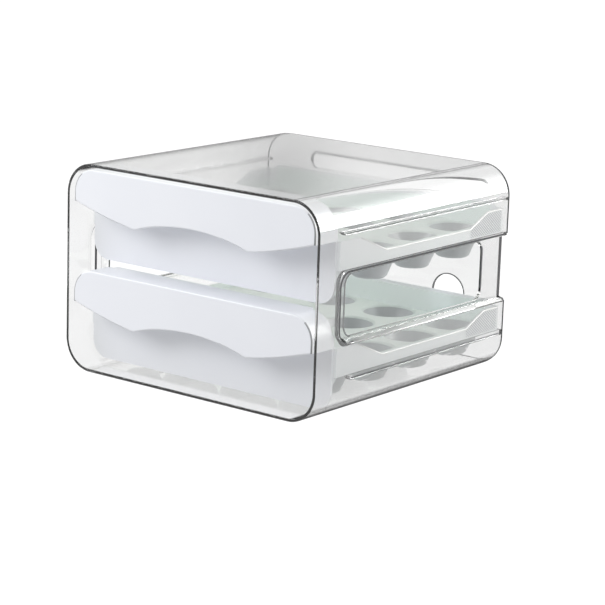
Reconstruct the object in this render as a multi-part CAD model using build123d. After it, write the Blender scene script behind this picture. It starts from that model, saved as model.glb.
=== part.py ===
from build123d import *
import math
import os

# Two-drawer egg box, in millimetres.
# The origin is under the middle of the casing, X to the right, Y to the back, Z up, front facing -Y.
# Depths named ..._from_rim are measured backwards from the plane of the casing's open front rim.

# Casing: one clear moulding, open at the front
width = 240.0
depth = 238.0
height = 159.0
casing_corner_radius = 24.0
casing_wall = 2.2
casing_rear_radius = 4.0
casing_rim_radius = 0.6

# Side recesses that form the ledges between the drawers
recess_depth = 6.0
recess_from_rim = 26.5
recess_slant = 5.0
recess_draft = 1.0
recess_corner_radius = 10.0

# Side windows in the recesses
window_margin = 2.4
window_from_rim = 39.0
window_rear_post = 26.0
window_corner_radius = 9.0

# Rails inside the casing
rail_width = 4.6
support_rail_height = 4.2
hold_down_rail_height = 2.2
support_rail_from_rim = 39.0
hold_down_rail_from_rim = 28.0
hold_down_clearance = 3.6
rail_nose_slant = 4.0

# Holes in the back wall
slot_from_left_side = 48.0
slot_from_right_side = 22.0
slot_below_top = 15.5
slot_height = 12.0
slot_corner_radius = 5.0
vent_from_right_side = 52.6
vent_height = 51.5
vent_radius = 14.8

# Drawers: two alike, one above the other
slide_clearance = 0.3
side_clearance = 0.8
rear_clearance = 1.3
rim_clearance = 0.8
gap_below_lower_front = 3.5
gap_between_fronts = 5.2
gap_above_upper_front = 2.3
frame_wall = 1.8
rack_wall = 1.5
seat_clearance = 0.3

# White front: a hollow lip over a finger plate
front_inset = 2.0
front_wall = 2.2
plate_wall = 2.0
lip_depth = 22.0
lip_side_gap = 3.6
lip_corner_radius = 18.0
lip_edge_radius = 1.2
lip_dip_x = 54.0
lip_dip_below_rim = 14.0
lip_arch_below_rim = 5.7
lip_side_bulge = 1.4
lip_dip_radius = 9.0
plate_below_floor = 25.3
plate_corner_radius = 14.0
plate_rise_above_rim = 9.0
flange_reach = 2.5
flange_end_inset = 2.2

# Drawer frame: walls with a notched rim round an open floor
rim_above_floor = 21.0
notch_depth = 13.0
notch_start_from_front = 24.0
notch_full_from_front = 55.0
notch_end_from_back = 46.5
notch_rise_from_back = 23.5
rear_rim_drop = 2.5
back_rise = 1.0
back_rise_from_side = 13.0
back_rise_slope = 6.0
frame_corner_radius = 5.0
ledge_width = 4.4
gusset_drop = 10.0
gusset_length = 10.0
gusset_side_gap = 0.6
gusset_curve_length_share = 0.62
gusset_curve_drop_share = 0.5

# Egg rack: a plate with sixteen cups
cups_across = 4
cups_deep = 4
cup_from_side_wall = 7.0
cup_from_end_wall = 1.0
cup_top_radius = 21.2
cup_bottom_radius = 12.5
cup_depth = 22.0
cup_wall = 1.4
cup_bottom_rounding = 4.0
cup_mouth_rounding = 1.2
rack_rim_height = 5.0
rack_back_drop = 1.0

# Room for the cuts: how far a cutting shape runs past a wall, and how deep a joined shape starts inside it
cut_overrun = 5.0
join_depth = 1.0
hairline = 0.01

# Worked out from the sizes above
front_y = -depth / 2
rear_y = depth / 2
half_width = width / 2
inner_half_width = half_width - casing_wall

front_gaps = gap_below_lower_front + gap_between_fronts + gap_above_upper_front
front_height = (height - 2 * casing_wall - front_gaps) / 2
lip_height_above_rim = front_height - plate_below_floor - rim_above_floor
casing_round = min(casing_corner_radius, casing_wall + gap_above_upper_front + lip_height_above_rim)
lower_floor = casing_wall + gap_below_lower_front + plate_below_floor
upper_floor = lower_floor + front_height + gap_between_fronts
recess_bottom = lower_floor + rim_above_floor + rim_clearance + casing_wall
recess_top = upper_floor - slide_clearance - casing_wall
ledge_half_width = half_width - recess_depth - casing_wall

lip_half_width = inner_half_width - lip_side_gap
lip_round = min(lip_corner_radius, lip_height_above_rim - 2 * lip_edge_radius)
frame_half_width = inner_half_width - side_clearance
frame_front = front_y + front_inset + lip_depth + plate_wall
frame_rear = rear_y - casing_wall - rear_clearance
back_rise_half_width = frame_half_width - back_rise_from_side
rack_middle_y = (frame_front + frame_rear) / 2
cup_reach_x = frame_half_width - frame_wall - cup_from_side_wall
cup_reach_y = (frame_rear - frame_front) / 2 - frame_wall - cup_from_end_wall


def rim_y(from_rim):
    """Place along Y of a depth measured back from the front rim."""
    return front_y + from_rim


def upright_prism(face, y_start, y_end):
    """Solid of an XZ outline between two depths. The outline's own up is Z."""
    plane = Plane(origin=(0, y_end, 0), x_dir=(1, 0, 0), z_dir=(0, -1, 0))
    return extrude(plane * face, amount=y_end - y_start)


def side_face(x, outline):
    """A YZ outline set at x, its own first axis along Y and its second along Z."""
    return Plane(origin=(x, 0, 0), x_dir=(0, 1, 0), z_dir=(1, 0, 0)) * outline


def block(x_range, y_range, z_range):
    """Plain block between two corners."""
    size = [high - low for low, high in (x_range, y_range, z_range)]
    middle = [(high + low) / 2 for low, high in (x_range, y_range, z_range)]
    return Pos(*middle) * Box(*size)


def both_sides(shape):
    """A shape together with its mirror image on the other side of the object."""
    return shape + mirror(shape, about=Plane.YZ)


def recess_outline(grow, front_shift, draft):
    """YZ outline of a side recess that runs out through the back, with rounded front corners."""
    low = recess_bottom - grow + draft
    high = recess_top + grow - draft
    start = rim_y(recess_from_rim + front_shift) - grow
    end = rear_y + cut_overrun
    outline = Pos((start + end) / 2, (low + high) / 2) * Rectangle(end - start, high - low)
    front_corners = outline.vertices().sort_by(Axis.X)[:2]
    return fillet(front_corners, recess_corner_radius)


def recess_solid(grow):
    """Space that the right-hand recess takes out of the casing, grown by a wall for its inside."""
    outer = side_face(half_width - grow + hairline, recess_outline(grow, 0.0, 0.0))
    inner = side_face(half_width - grow - recess_depth, recess_outline(grow, recess_slant, recess_draft))
    cap = extrude(side_face(half_width - grow, recess_outline(grow, 0.0, 0.0)), amount=casing_wall + cut_overrun)
    return loft([outer.face(), inner.face()], ruled=True) + cap


def casing_blank(margin):
    """XZ outline of the casing, drawn in by a margin."""
    outline = RectangleRounded(width - 2 * margin, height - 2 * margin, casing_round - margin)
    return Pos(0, height / 2) * outline


def make_casing():
    """Clear shell with recessed, windowed sides, inner rails and two holes in the back wall."""
    outer = upright_prism(casing_blank(0.0), front_y, rear_y)
    outer = fillet(outer.faces().sort_by(Axis.Y)[-1].edges(), casing_rear_radius)
    outer = outer - both_sides(recess_solid(0.0))
    inner = upright_prism(casing_blank(casing_wall), front_y - cut_overrun, rear_y - casing_wall)
    inner = inner - both_sides(recess_solid(casing_wall))
    shell = outer - inner
    shell = fillet(shell.faces().sort_by(Axis.Y)[0].edges(), casing_rim_radius)

    window_low = recess_bottom + window_margin
    window_high = recess_top - window_margin
    window_length = depth - window_rear_post - window_from_rim
    window = RectangleRounded(window_length, window_high - window_low, window_corner_radius)
    window_y = rim_y(window_from_rim) + window_length / 2
    window = Pos(window_y, (window_low + window_high) / 2) * window
    placed = side_face(ledge_half_width - cut_overrun, window)
    window_cut = extrude(placed, amount=recess_depth + casing_wall + 2 * cut_overrun)
    shell = shell - both_sides(window_cut)

    slot_left = slot_from_left_side - half_width
    slot_right = half_width - slot_from_right_side
    slot = RectangleRounded(slot_right - slot_left, slot_height, slot_corner_radius)
    slot = Pos((slot_left + slot_right) / 2, height - slot_below_top - slot_height / 2) * slot
    vent = Pos(half_width - vent_from_right_side, vent_height) * Circle(vent_radius)
    for hole in (slot, vent):
        shell = shell - upright_prism(hole, rear_y - casing_wall - cut_overrun, rear_y + cut_overrun)

    support_top = lower_floor - slide_clearance
    hold_down = upper_floor + rim_above_floor + hold_down_clearance
    support = rail(support_top - support_rail_height, support_rail_height, support_rail_from_rim)
    hold = rail(hold_down, hold_down_rail_height, hold_down_rail_from_rim)
    shell = shell + both_sides(support) + both_sides(hold)
    return shell


def rail(bottom, thickness, from_rim):
    """Right-hand inner rail with a slanted nose, running back to the rear wall."""
    nose = rim_y(from_rim)
    end = rear_y - casing_wall / 2
    outline = Polygon(
        (nose, bottom + thickness),
        (nose + rail_nose_slant, bottom),
        (end, bottom),
        (end, bottom + thickness),
        align=None,
    )
    inside = inner_half_width - rail_width
    return extrude(side_face(inside, outline), amount=rail_width + casing_wall / 2)


def lip_outline(inset, floor):
    """XZ outline of the lip: round top corners and a wavy lower edge with a finger arch."""
    rim = floor + rim_above_floor
    side = lip_half_width - inset
    top = rim + lip_height_above_rim - inset
    radius = lip_round - inset
    edge = rim + inset
    dip = rim - lip_dip_below_rim + inset
    arch = rim - lip_arch_below_rim + inset
    middle_x = (side + lip_dip_x) / 2
    middle_z = (edge + dip) / 2 - lip_side_bulge
    corner = radius * math.sqrt(0.5)
    path = [
        Line((-side, edge), (-side, top - radius)),
        ThreePointArc(
            (-side, top - radius),
            (-side + radius - corner, top - radius + corner),
            (-side + radius, top),
        ),
        Line((-side + radius, top), (side - radius, top)),
        ThreePointArc(
            (side - radius, top),
            (side - radius + corner, top - radius + corner),
            (side, top - radius),
        ),
        Line((side, top - radius), (side, edge)),
        ThreePointArc((side, edge), (middle_x, middle_z), (lip_dip_x, dip)),
        ThreePointArc((lip_dip_x, dip), (0, arch), (-lip_dip_x, dip)),
        ThreePointArc((-lip_dip_x, dip), (-middle_x, middle_z), (-side, edge)),
    ]
    outline = make_face(Curve() + path)
    dips = outline.vertices().sort_by(Axis.Y)[:2]
    return fillet(dips, lip_dip_radius)


def plate_outline(floor):
    """XZ outline of the finger plate, with round lower corners."""
    bottom = floor - plate_below_floor
    top = floor + rim_above_floor + plate_rise_above_rim
    outline = Pos(0, (top + bottom) / 2) * Rectangle(2 * lip_half_width, top - bottom)
    return fillet(outline.vertices().sort_by(Axis.Y)[:2], plate_corner_radius)


def make_front(floor):
    """White drawer front: hollow lip, finger plate below it, and a flange back over the rack."""
    lip_front = rim_y(front_inset)
    plate_front = lip_front + lip_depth
    lip = upright_prism(lip_outline(0.0, floor), lip_front, plate_front)
    lip = fillet(lip.faces().sort_by(Axis.Y)[0].edges(), lip_edge_radius)
    plate = upright_prism(plate_outline(floor), plate_front, plate_front + plate_wall)
    hollow = upright_prism(lip_outline(front_wall, floor), lip_front + front_wall, plate_front)
    lip_top = floor + rim_above_floor + lip_height_above_rim
    flange_half_width = lip_half_width - lip_round - flange_end_inset
    flange = block(
        (-flange_half_width, flange_half_width),
        (plate_front - join_depth, plate_front + plate_wall + flange_reach),
        (lip_top - front_wall, lip_top),
    )
    return lip - hollow + plate + flange


def frame_side_outline(floor):
    """YZ outline of the frame's side walls, with the long notch in the rim."""
    rim = floor + rim_above_floor
    low = rim - notch_depth
    rear = rim - rear_rim_drop
    return Polygon(
        (frame_front, floor),
        (frame_rear, floor),
        (frame_rear, rear),
        (frame_rear - notch_rise_from_back, rear),
        (frame_rear - notch_end_from_back, low),
        (frame_front + notch_full_from_front, low),
        (frame_front + notch_start_from_front, rim),
        (frame_front, rim),
        align=None,
    )


def frame_rear_outline(floor):
    """XZ outline of the frame seen from the back, with a raised middle to the back wall."""
    rim = floor + rim_above_floor
    rear = rim - rear_rim_drop
    top = rim + back_rise
    foot = back_rise_half_width + back_rise_slope
    return Polygon(
        (-frame_half_width, floor),
        (frame_half_width, floor),
        (frame_half_width, rear),
        (foot, rear),
        (back_rise_half_width, top),
        (-back_rise_half_width, top),
        (-foot, rear),
        (-frame_half_width, rear),
        align=None,
    )


def make_frame(floor):
    """Drawer frame: notched side walls, front and back walls, an inner ledge and two gussets."""
    length = frame_rear - frame_front
    top = floor + rim_above_floor + back_rise
    blank = block(
        (-frame_half_width, frame_half_width),
        (frame_front, frame_rear),
        (floor, top),
    )
    rear_corners = blank.edges().filter_by(Axis.Z).sort_by(Axis.Y)[2:]
    blank = fillet(rear_corners, frame_corner_radius)
    inside = Pos(0, rack_middle_y, floor + frame_wall + (top - floor) / 2)
    inside = inside * Box(2 * (frame_half_width - frame_wall), length - 2 * frame_wall, top - floor)
    inner_corners = inside.edges().filter_by(Axis.Z).sort_by(Axis.Y)[2:]
    inside = fillet(inner_corners, frame_corner_radius - frame_wall)

    opening_half_width = frame_half_width - frame_wall - ledge_width
    opening_reach_y = cup_reach_y + slide_clearance
    opening = block(
        (-opening_half_width, opening_half_width),
        (rack_middle_y - opening_reach_y, rack_middle_y + opening_reach_y),
        (floor - cut_overrun, floor + frame_wall + cut_overrun),
    )
    side_shape = extrude(
        side_face(-frame_half_width, frame_side_outline(floor)),
        amount=2 * frame_half_width,
    )
    back_shape = upright_prism(
        frame_rear_outline(floor),
        frame_rear - frame_corner_radius,
        frame_rear,
    )
    frame = (blank & (side_shape + back_shape)) - inside - opening
    return frame + both_sides(gusset(floor))


def gusset(floor):
    """Right-hand gusset under the front of the frame, which stiffens the finger plate."""
    outer = ledge_half_width - gusset_side_gap
    top = floor + frame_wall
    foot = (frame_front, floor - gusset_drop)
    middle = (
        frame_front + gusset_curve_length_share * gusset_length,
        floor - gusset_curve_drop_share * gusset_drop,
    )
    tip = (frame_front + gusset_length, floor)
    path = [
        Line((frame_front, top), foot),
        ThreePointArc(foot, middle, tip),
        Line(tip, (frame_front + gusset_length, top)),
        Line((frame_front + gusset_length, top), (frame_front, top)),
    ]
    outline = make_face(Curve() + path)
    return extrude(side_face(outer - frame_wall, outline), amount=frame_wall)


def cup_profile(inset, top, bottom):
    """Half section of a cup about its axis, rounded at the foot."""
    slope = (cup_top_radius - cup_bottom_radius) / cup_depth
    top_radius = cup_bottom_radius + slope * (top - bottom) - inset
    outline = Polygon(
        (0, bottom + inset),
        (cup_bottom_radius - inset, bottom + inset),
        (top_radius, top),
        (0, top),
        align=None,
    )
    foot = outline.vertices().group_by(Axis.Y)[0].sort_by(Axis.X)[-1]
    return fillet(foot, cup_bottom_rounding - inset)


def cup_body(inset, top, bottom):
    """Body of revolution of one cup about the Z axis, drawn in by an inset."""
    return revolve(Plane.XZ * cup_profile(inset, top, bottom), Axis.Z)


def cup_hollow(floor):
    """Space inside one cup, from its foot up through the plate, with an eased mouth."""
    seat = floor + frame_wall
    plate_top = seat + rack_wall
    mouth_radius = cup_top_radius - cup_wall + cup_mouth_rounding
    mouth = Cone(
        mouth_radius - cup_mouth_rounding,
        mouth_radius + cup_mouth_rounding / 2,
        cup_mouth_rounding + hairline,
    )
    mouth = Pos(0, 0, plate_top - cup_mouth_rounding / 2) * mouth
    return cup_body(cup_wall, plate_top, seat - cup_depth) + mouth


def make_cup(floor):
    """One egg cup about the Z axis: a thin tapered wall with a round foot, up to the plate's underside."""
    seat = floor + frame_wall
    return cup_body(0.0, seat, seat - cup_depth) - cup_hollow(floor)


def cup_row(shape, row):
    """A shape set at each cup's place in one row across the rack. Row 0 is at the front."""
    last_x = cup_reach_x - cup_top_radius
    last_y = cup_reach_y - cup_top_radius
    gap_x = 2 * last_x / (cups_across - 1)
    gap_y = 2 * last_y / (cups_deep - 1)
    y = rack_middle_y + row * gap_y - last_y
    return [Pos(column * gap_x - last_x, y, 0) * shape for column in range(cups_across)]


def rack_tray(margin, low, high):
    """Block of the rack's own outline between two heights, drawn in by a margin."""
    inner_half = frame_half_width - frame_wall - seat_clearance
    rack_length = frame_rear - frame_front - 2 * (frame_wall + seat_clearance)
    corner = frame_corner_radius - frame_wall
    outline = RectangleRounded(2 * (inner_half - margin), rack_length - 2 * margin, corner - margin)
    return extrude(Pos(0, rack_middle_y, low) * outline, amount=high - low)


def make_rack(floor):
    """Egg rack: a thin plate with a low rim, a tall back and a round hole for each cup."""
    seat = floor + frame_wall
    plate_top = seat + rack_wall
    rim_top = plate_top + rack_rim_height
    rear = frame_rear - frame_wall - seat_clearance
    back_top = floor + rim_above_floor - rack_back_drop
    rack = rack_tray(0.0, seat, rim_top)
    rack = rack - rack_tray(rack_wall, plate_top, rim_top + cut_overrun)
    rack = rack + block(
        (-back_rise_half_width, back_rise_half_width),
        (rear - rack_wall, rear),
        (seat, back_top),
    )
    hollow = cup_hollow(floor)
    for row in range(cups_deep):
        rack = rack - cup_row(hollow, row)
    return rack


def save(name, shape):
    """Write one sub-part as a STEP file named after its node."""
    export_step(shape, os.path.join("parts", name + ".step"))
    print(name, "solids", len(shape.solids()), "volume mm3", round(shape.volume, 1))


os.makedirs("parts", exist_ok=True)
save("casing", make_casing())
for level, floor in (("lower", lower_floor), ("upper", upper_floor)):
    save(level + "_drawer_front", make_front(floor))
    save(level + "_drawer_frame", make_frame(floor))
    save(level + "_egg_rack", make_rack(floor))
    cup = make_cup(floor)
    for row in range(cups_deep):
        save(level + "_egg_cups_row_" + str(row + 1), Compound(cup_row(cup, row)))
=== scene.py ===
"""Clear two-drawer egg box on a pale studio floor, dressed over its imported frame."""

import logging
import math
from dataclasses import dataclass, field
from enum import Enum
from typing import Any

import bmesh
import bpy
from mathutils import Matrix, Vector


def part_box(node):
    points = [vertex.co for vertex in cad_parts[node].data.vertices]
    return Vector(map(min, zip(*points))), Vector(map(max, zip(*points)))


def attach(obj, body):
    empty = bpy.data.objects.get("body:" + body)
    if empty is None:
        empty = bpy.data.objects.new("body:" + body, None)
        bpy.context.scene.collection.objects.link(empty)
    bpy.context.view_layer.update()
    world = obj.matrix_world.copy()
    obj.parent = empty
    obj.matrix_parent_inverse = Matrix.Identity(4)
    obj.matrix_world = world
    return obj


LOG = logging.getLogger("egg_box")
MM = 0.001
CORNER_STEP_DEG = 6.0
QUARTER_TURN = math.radians(90.0)
TUBE_SIDES = 8

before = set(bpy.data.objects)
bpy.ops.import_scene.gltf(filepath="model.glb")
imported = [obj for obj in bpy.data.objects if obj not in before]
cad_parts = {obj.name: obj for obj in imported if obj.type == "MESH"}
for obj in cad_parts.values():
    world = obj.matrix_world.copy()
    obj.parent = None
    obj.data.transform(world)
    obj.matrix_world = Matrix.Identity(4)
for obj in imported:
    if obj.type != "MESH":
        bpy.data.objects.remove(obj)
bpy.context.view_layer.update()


class Slot(Enum):
    """Material slots of the record."""

    CLEAR = "clear_plastic"
    WHITE = "white_plastic"
    FROSTED = "frosted_plastic"


class Level(Enum):
    """The two drawers, by where they sit."""

    LOWER = "lower"
    UPPER = "upper"


class Side(Enum):
    """The object's two sides, by the sign of their X."""

    RIGHT = 1.0
    LEFT = -1.0


class Axis(Enum):
    """Axes of the shared frame, by their place in a point."""

    X = 0
    Y = 1
    Z = 2


def linear(code: str) -> tuple[float, float, float, float]:
    """Turn an sRGB hex colour into linear light.

    Args:
        code: Colour as "#RRGGBB".

    Returns:
        Linear red, green, blue and an alpha of one.
    """
    channels = []
    for start in (1, 3, 5):
        value = int(code[start:start + 2], 16) / 255.0
        channels.append(value / 12.92 if value <= 0.04045 else ((value + 0.055) / 1.055) ** 2.4)
    return (channels[0], channels[1], channels[2], 1.0)


def add_node(
    tree: bpy.types.NodeTree,
    kind: str,
    settings: dict[str, Any] | None = None,
    inputs: dict[Any, Any] | None = None,
) -> bpy.types.Node:
    """Add one node with its settings, values and links.

    Args:
        tree: Node tree that gets the node.
        kind: Blender's name for the node's type.
        settings: Properties of the node itself.
        inputs: Value or linked output socket for each input, by name or index.

    Returns:
        The new node.
    """
    node = tree.nodes.new(kind)
    for name, value in (settings or {}).items():
        setattr(node, name, value)
    for key, value in (inputs or {}).items():
        if isinstance(value, bpy.types.NodeSocket):
            tree.links.new(value, node.inputs[key])
        else:
            node.inputs[key].default_value = value
    return node


def new_material(name: str) -> tuple[bpy.types.Material, bpy.types.NodeTree]:
    """Make an empty node material.

    Args:
        name: Name of the material.

    Returns:
        The material and its node tree, with no nodes in it.
    """
    material = bpy.data.materials.new(name)
    material.use_nodes = True
    material.node_tree.nodes.clear()
    return material, material.node_tree


def let_soft_light_pass(
    tree: bpy.types.NodeTree, shader: bpy.types.NodeSocket, share: float, colour: str
) -> bpy.types.NodeSocket:
    """Let lamps and diffuse light through a see-through surface, where the eye still meets the full surface.

    Args:
        tree: Node tree of the material.
        shader: Its surface shader.
        share: Share of the soft light that passes, from 0 to 1.
        colour: What the passing light is tinted with.

    Returns:
        The socket for the material's surface.
    """
    rays = add_node(tree, "ShaderNodeLightPath")
    soft = add_node(
        tree, "ShaderNodeMath", {"operation": "MAXIMUM"},
        {0: rays.outputs["Is Shadow Ray"], 1: rays.outputs["Is Diffuse Ray"]},
    )
    part = add_node(tree, "ShaderNodeMath", {"operation": "MULTIPLY"}, {0: soft.outputs[0], 1: share})
    passed = add_node(tree, "ShaderNodeBsdfTransparent", {}, {"Color": linear(colour)})
    both = add_node(
        tree, "ShaderNodeMixShader", {},
        {0: part.outputs[0], 1: shader, 2: passed.outputs["BSDF"]},
    )
    return both.outputs["Shader"]


def mix_in_clouds(
    tree: bpy.types.NodeTree, place: bpy.types.NodeSocket, width_mm: float, first: str, second: str
) -> bpy.types.NodeSocket:
    """Mix two tones of a plastic in soft clouds.

    Args:
        tree: Node tree of the material.
        place: Coordinates of the piece in metres.
        width_mm: Width of a cloud in millimetres.
        first: One tone, as "#RRGGBB".
        second: The other tone.

    Returns:
        The socket with the mixed colour.
    """
    cloud = add_node(
        tree, "ShaderNodeTexNoise", {}, {"Vector": place, "Scale": 1.0 / (width_mm * MM), "Detail": 2.0}
    )
    colour = add_node(
        tree, "ShaderNodeMix", {"data_type": "RGBA"},
        {"Factor": cloud.outputs["Fac"], "A": linear(first), "B": linear(second)},
    )
    return colour.outputs[2]


@dataclass(frozen=True)
class ClearPolystyrene:
    """Injection moulded clear polystyrene with a polished face.

    To the eye it is glass clear and mirror sharp where it is flat. Its rounded corners get a painted shade
    where the eye meets them edge-on: a grey coat that stands in for the light they send away sideways. It
    darkens a little the longer the way through it is.
    """

    name: str = "clear polystyrene, moulded and polished"
    tint: str = "#EFEFEF"
    corner_painted_shade: str = "#7A7B7E"
    corner_start: float = 0.62
    corner_full: float = 0.85
    corner_strength: float = 0.88
    flat_start: float = 0.985
    flat_full: float = 0.998
    depth_tint: str = "#8E908F"
    depth_density: float = 5.0
    index_of_refraction: float = 1.58
    roughness: float = 0.012
    haze_roughness: float = 0.035
    haze_start: float = 0.3
    haze_full: float = 0.75
    flow_width_mm: float = 38.0
    passed_light: str = "#F6F6F4"

    def build(self) -> bpy.types.Material:
        """Make the material.

        Returns:
            Clear body with a gloss that hazes along the melt's flow, painted shade on the rounded corners seen
            edge-on, and a tint that deepens inside.
        """
        material, tree = new_material(self.name)
        place = add_node(tree, "ShaderNodeTexCoord")
        flow = add_node(
            tree, "ShaderNodeTexNoise", {"noise_dimensions": "3D"},
            {"Vector": place.outputs["Object"], "Scale": 1.0 / (self.flow_width_mm * MM), "Detail": 2.0},
        )
        gloss = add_node(
            tree, "ShaderNodeMapRange", {},
            {"Value": flow.outputs["Fac"], "From Min": self.haze_start, "From Max": self.haze_full,
             "To Min": self.roughness, "To Max": self.haze_roughness},
        )
        # Painted shade: the grey coat thickens as a rounded face turns edge-on to the eye.
        facing = add_node(tree, "ShaderNodeLayerWeight", {}, {"Blend": 0.5})
        graze = add_node(
            tree, "ShaderNodeMapRange", {"interpolation_type": "SMOOTHSTEP"},
            {"Value": facing.outputs["Facing"], "From Min": self.corner_start, "From Max": self.corner_full,
             "To Max": self.corner_strength},
        )
        # A face that is square to an axis is flat wall, and gets no painted corner shade however low the eye
        # looks along it.
        side = add_node(tree, "ShaderNodeNewGeometry")
        turned = add_node(tree, "ShaderNodeSeparateXYZ", {}, {"Vector": place.outputs["Normal"]})
        square: float | bpy.types.NodeSocket = 0.0
        for axis in Axis:
            along = add_node(
                tree, "ShaderNodeMath", {"operation": "ABSOLUTE"}, {0: turned.outputs[axis.name]}
            )
            largest = add_node(
                tree, "ShaderNodeMath", {"operation": "MAXIMUM"}, {0: along.outputs[0], 1: square}
            )
            square = largest.outputs[0]
        round_share = add_node(
            tree, "ShaderNodeMapRange", {},
            {"Value": square, "From Min": self.flat_start, "From Max": self.flat_full,
             "To Min": 1.0, "To Max": 0.0},
        )
        outside = add_node(
            tree, "ShaderNodeMath", {"operation": "SUBTRACT"},
            {0: round_share.outputs["Result"], 1: side.outputs["Backfacing"]},
        )
        edge = add_node(
            tree, "ShaderNodeMath", {"operation": "MULTIPLY", "use_clamp": True},
            {0: graze.outputs["Result"], 1: outside.outputs[0]},
        )
        shader = add_node(
            tree, "ShaderNodeBsdfPrincipled", {},
            {"Base Color": linear(self.tint), "Roughness": gloss.outputs["Result"],
             "IOR": self.index_of_refraction, "Transmission Weight": 1.0, "Coat Weight": edge.outputs[0],
             "Coat Roughness": self.roughness, "Coat IOR": 1.0, "Coat Tint": linear(self.corner_painted_shade)},
        )
        depth = add_node(
            tree, "ShaderNodeVolumeAbsorption", {},
            {"Color": linear(self.depth_tint), "Density": self.depth_density},
        )
        add_node(
            tree, "ShaderNodeOutputMaterial", {},
            {"Surface": let_soft_light_pass(tree, shader.outputs["BSDF"], 1.0, self.passed_light),
             "Volume": depth.outputs["Volume"]},
        )
        return material


@dataclass(frozen=True)
class PaintedEdgeLine:
    """A line of painted light along a thick moulded edge inside clear plastic.

    Its dark tones are painted shade, where such an edge sends the light away sideways, and a white one is a
    painted highlight, where it sends a lamp's light on. Its tone comes and goes along the edge.
    """

    name: str
    colour: str
    pale_colour: str
    roughness: float = 0.65
    gloss_level: float = 0.12
    index_of_refraction: float = 1.5
    cloud_mm: float = 26.0

    def build(self) -> bpy.types.Material:
        """Make the material.

        Returns:
            Dull body with two tones of its painted shade or highlight in clouds.
        """
        material, tree = new_material(self.name)
        place = add_node(tree, "ShaderNodeTexCoord").outputs["Object"]
        colour = mix_in_clouds(tree, place, self.cloud_mm, self.colour, self.pale_colour)
        shader = add_node(
            tree, "ShaderNodeBsdfPrincipled", {},
            {"Base Color": colour, "Roughness": self.roughness, "IOR": self.index_of_refraction,
             "Specular IOR Level": self.gloss_level},
        )
        add_node(tree, "ShaderNodeOutputMaterial", {}, {"Surface": shader.outputs["BSDF"]})
        return material


@dataclass(frozen=True)
class MouldedPlastic:
    """Skin that a mould leaves on white or milky plastic.

    To the eye it is soft clouds of tone a few centimetres wide, and a satin gloss broken up by a fine grain.
    The real grain is about 0.05 mm. It is too fine to show in the render, so it is drawn as coarse as
    grain_mm says.
    """

    name: str
    colour: str
    shade_colour: str
    index_of_refraction: float
    roughness: float
    rough_spread: float
    grain_mm: float
    grain_depth_mm: float
    grain_detail: float
    grain_strength: float
    cloud_mm: float

    def skin(self, tree: bpy.types.NodeTree) -> dict[str, Any]:
        """Lay the clouds of tone, the grain and the gloss.

        Args:
            tree: Node tree of the material.

        Returns:
            Value or socket for the inputs of the body's shader that follow from them.
        """
        place = add_node(tree, "ShaderNodeTexCoord").outputs["Object"]
        grain = add_node(
            tree, "ShaderNodeTexNoise", {},
            {"Vector": place, "Scale": 1.0 / (self.grain_mm * MM), "Detail": self.grain_detail},
        )
        gloss = add_node(
            tree, "ShaderNodeMapRange", {},
            {"Value": grain.outputs["Fac"], "To Min": self.roughness - self.rough_spread,
             "To Max": self.roughness + self.rough_spread},
        )
        bump = add_node(
            tree, "ShaderNodeBump", {},
            {"Height": grain.outputs["Fac"], "Strength": self.grain_strength,
             "Distance": self.grain_depth_mm * MM},
        )
        return {
            "Base Color": mix_in_clouds(tree, place, self.cloud_mm, self.colour, self.shade_colour),
            "Roughness": gloss.outputs["Result"],
            "Normal": bump.outputs["Normal"],
            "IOR": self.index_of_refraction,
        }


@dataclass(frozen=True)
class WhiteAbs(MouldedPlastic):
    """Injection moulded white ABS.

    To the eye it is opaque and a cool white, with a satin gloss.
    """

    name: str = "white ABS, moulded satin"
    colour: str = "#E9EBF0"
    shade_colour: str = "#E4E6EC"
    index_of_refraction: float = 1.53
    roughness: float = 0.34
    rough_spread: float = 0.04
    grain_mm: float = 0.9
    grain_depth_mm: float = 0.012
    grain_detail: float = 3.0
    grain_strength: float = 0.05
    cloud_mm: float = 55.0

    def build(self) -> bpy.types.Material:
        """Make the material.

        Returns:
            Opaque body with the moulded skin.
        """
        material, tree = new_material(self.name)
        shader = add_node(tree, "ShaderNodeBsdfPrincipled", {}, self.skin(tree))
        add_node(tree, "ShaderNodeOutputMaterial", {}, {"Surface": shader.outputs["BSDF"]})
        return material


@dataclass(frozen=True)
class MilkyPlastic(MouldedPlastic):
    """Moulded plastic that is partly see-through, and glows with the light that falls on its far side."""

    see_through: float
    glow_through: float
    light_share: float

    def build(self) -> bpy.types.Material:
        """Make the material.

        Returns:
            Body that is part dull, part see-through and part glowing, and lets a share of soft light pass.
        """
        material, tree = new_material(self.name)
        skin = self.skin(tree)
        shader = add_node(
            tree, "ShaderNodeBsdfPrincipled", {}, {**skin, "Transmission Weight": self.see_through}
        )
        milky = add_node(tree, "ShaderNodeBsdfTranslucent", {}, {"Color": skin["Base Color"]})
        body = add_node(
            tree, "ShaderNodeMixShader", {},
            {0: self.glow_through, 1: shader.outputs["BSDF"], 2: milky.outputs["BSDF"]},
        )
        surface = let_soft_light_pass(tree, body.outputs["Shader"], self.light_share, self.colour)
        add_node(tree, "ShaderNodeOutputMaterial", {}, {"Surface": surface})
        return material


@dataclass(frozen=True)
class FrostedPolypropylene(MilkyPlastic):
    """Moulded polypropylene with a frosted face.

    To the eye it is milky white and dull, and shapes behind it show as soft shadows.
    """

    name: str = "frosted polypropylene, milky"
    colour: str = "#F6F7F9"
    shade_colour: str = "#F0F2F5"
    index_of_refraction: float = 1.49
    roughness: float = 0.4
    rough_spread: float = 0.06
    grain_mm: float = 0.7
    grain_depth_mm: float = 0.015
    grain_detail: float = 3.0
    grain_strength: float = 0.3
    cloud_mm: float = 40.0
    see_through: float = 0.25
    glow_through: float = 0.3
    light_share: float = 0.7


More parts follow.
